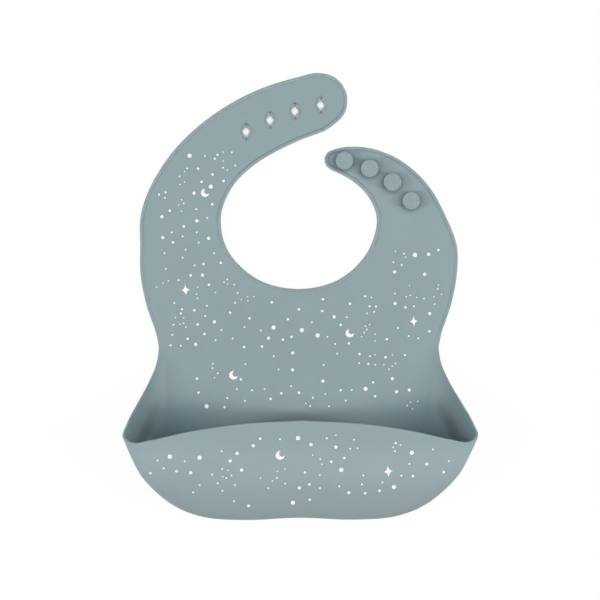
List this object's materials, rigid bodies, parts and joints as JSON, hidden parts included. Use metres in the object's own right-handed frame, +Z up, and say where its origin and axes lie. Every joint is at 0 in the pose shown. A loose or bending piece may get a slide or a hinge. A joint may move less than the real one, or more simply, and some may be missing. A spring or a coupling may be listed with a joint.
{
  "type": "silicone bib",
  "caption": "Soft silicone baby bib with a wide scoop pocket along its lower edge, a raised edge bead, and neck straps that close with studs in slots.",
  "frame": {"origin": "middle of the bib's outline on the plane of its back face, where it lies on a table", "axes": "+X to the viewer's right across the bib, +Y up the chest towards the neck straps, +Z out of the printed front, so the pocket opens towards +Y and stands up along +Z"},
  "size_m": [0.2344, 0.2988, 0.047],
  "materials": {
    "chest_panel": "matte grey-blue silicone with a printed pattern in white",
    "catch_pocket": "matte grey-blue silicone with a printed pattern in white",
    "slot_strap": "matte grey-blue silicone",
    "stud_strap": "matte grey-blue silicone",
    "studs": "fine-grained grey-blue silicone"
  },
  "bodies": {
    "bib": {"chest_panel": "chest_panel"},
    "pocket": {"catch_pocket": "catch_pocket"},
    "slot_strap": {"slot_strap": "slot_strap"},
    "stud_strap": {"stud_strap": "stud_strap", "stud_1": "studs", "stud_2": "studs", "stud_3": "studs", "stud_4": "studs"}
  },
  "joints": [
    {"name": "slot_strap_fold", "type": "hinge", "parent": "bib", "child": "slot_strap", "pos_m": [-0.078, 0.0333, 0.0025], "axis": [1, 0, 0], "range_deg": [0, 120], "stiffness_Nm_per_rad": 0.004},
    {"name": "stud_strap_fold", "type": "hinge", "parent": "bib", "child": "stud_strap", "pos_m": [0.078, 0.0333, 0.0025], "axis": [1, 0, 0], "range_deg": [0, 120], "stiffness_Nm_per_rad": 0.0035},
    {"name": "pocket_pull", "type": "hinge", "parent": "bib", "child": "pocket", "pos_m": [0, -0.146, 0], "axis": [1, 0, 0], "range_deg": [0, 15], "stiffness_Nm_per_rad": 0.5}
  ]
}
